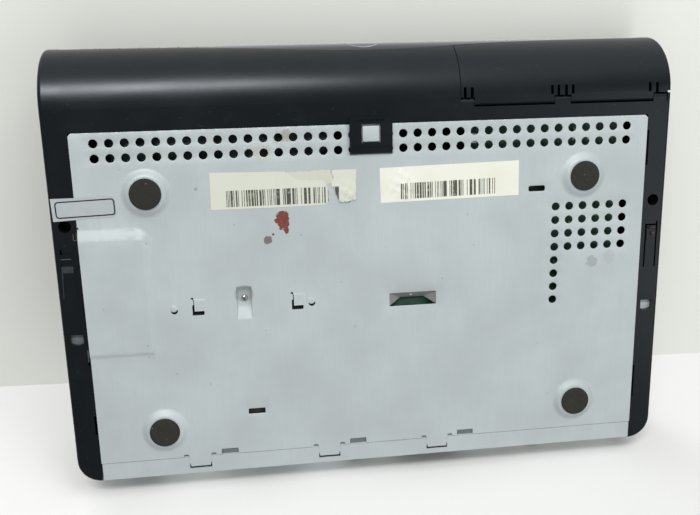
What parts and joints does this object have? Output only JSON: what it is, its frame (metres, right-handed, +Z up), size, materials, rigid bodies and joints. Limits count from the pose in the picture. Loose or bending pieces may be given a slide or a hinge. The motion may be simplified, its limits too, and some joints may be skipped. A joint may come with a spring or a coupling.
{
  "type": "satellite television receiver",
  "caption": "Slim set-top box with a half-round nose, drop-down flap, keys, steel base tray with vents and pressed feet, and a rear panel of sockets",
  "frame": {"origin": "on the shelf under the middle of the whole, at the foot pads' faces", "axes": "+X to the right seen from the front, +Y to the rear panel, +Z up"},
  "size_m": [0.365, 0.2642, 0.07],
  "materials": {
    "black_plastic": "fine spark-eroded grain",
    "gloss_plastic": "high gloss",
    "clear_plastic": "smoked clear",
    "sheet_steel": "galvanised",
    "rubber": "dull",
    "screw_steel": "zinc plated",
    "socket_metal": "nickel plated",
    "socket_plastic": "moulded",
    "board": "solder resist",
    "chip": "moulded",
    "aluminium": "mill finish"
  },
  "bodies": {
    "case": {"top_cover": "black_plastic", "front_fascia": "gloss_plastic", "ring_cap": "gloss_plastic", "status_ring": "clear_plastic", "base_tray": "sheet_steel", "rear_panel": "sheet_steel", "drive_cradle": "sheet_steel", "foot_pads": "rubber", "cover_screws": "screw_steel", "rear_screws": "screw_steel", "board_screws": "screw_steel", "power_screws": "screw_steel", "drive_screws": "screw_steel", "fan_screws": "screw_steel", "cradle_rivet": "screw_steel", "board_pillars": "screw_steel", "power_pillars": "screw_steel", "lnb_sockets": "socket_metal", "rf_sockets": "socket_metal", "hdmi_socket": "socket_metal", "rear_usb_socket": "socket_metal", "network_socket": "socket_metal", "front_usb_socket": "socket_metal", "tuner_can": "socket_metal", "scart_sockets": "socket_plastic", "phono_sockets": "socket_plastic", "optical_socket": "socket_plastic", "phone_socket": "socket_plastic", "mains_inlet": "socket_plastic", "card_reader": "socket_plastic", "key_switches": "socket_plastic", "fan_housing": "socket_plastic", "main_board": "board", "power_board": "board", "front_board": "board", "processor": "chip", "memory_chips": "chip", "board_capacitors": "chip", "power_capacitors": "chip", "transformer": "chip", "processor_heatsink": "aluminium", "power_heatsinks": "aluminium", "hard_drive": "aluminium"},
    "flap": {"card_flap": "black_plastic"},
    "fan": {"fan_rotor": "socket_plastic"},
    "standby_button": {"standby_key": "gloss_plastic"},
    "left_button": {"left_key": "gloss_plastic"},
    "up_button": {"up_key": "gloss_plastic"},
    "down_button": {"down_key": "gloss_plastic"},
    "right_button": {"right_key": "gloss_plastic"},
    "select_button": {"select_key": "gloss_plastic"}
  },
  "joints": [
    {"name": "flap_hinge", "type": "hinge", "parent": "case", "child": "flap", "pos_m": [0.115, -0.09695, 0.0067], "axis": [1, 0, 0], "range_deg": [0, 85]},
    {"name": "fan_spin", "type": "hinge", "parent": "case", "child": "fan", "pos_m": [-0.07, 0.11295, 0.036], "axis": [0, 1, 0], "continuous": true},
    {"name": "standby_press", "type": "slide", "parent": "case", "child": "standby_button", "axis": [0, 1, 0], "range_m": [0, 0.0006], "stiffness_N_per_m": 800, "springref_m": -0.0004},
    {"name": "left_press", "type": "slide", "parent": "case", "child": "left_button", "axis": [0, 1, 0], "range_m": [0, 0.0006], "stiffness_N_per_m": 800, "springref_m": -0.0004},
    {"name": "up_press", "type": "slide", "parent": "case", "child": "up_button", "axis": [0, 1, 0], "range_m": [0, 0.0006], "stiffness_N_per_m": 800, "springref_m": -0.0004},
    {"name": "down_press", "type": "slide", "parent": "case", "child": "down_button", "axis": [0, 1, 0], "range_m": [0, 0.0006], "stiffness_N_per_m": 800, "springref_m": -0.0004},
    {"name": "right_press", "type": "slide", "parent": "case", "child": "right_button", "axis": [0, 1, 0], "range_m": [0, 0.0006], "stiffness_N_per_m": 800, "springref_m": -0.0004},
    {"name": "select_press", "type": "slide", "parent": "case", "child": "select_button", "axis": [0, 1, 0], "range_m": [0, 0.0006], "stiffness_N_per_m": 800, "springref_m": -0.0004}
  ]
}
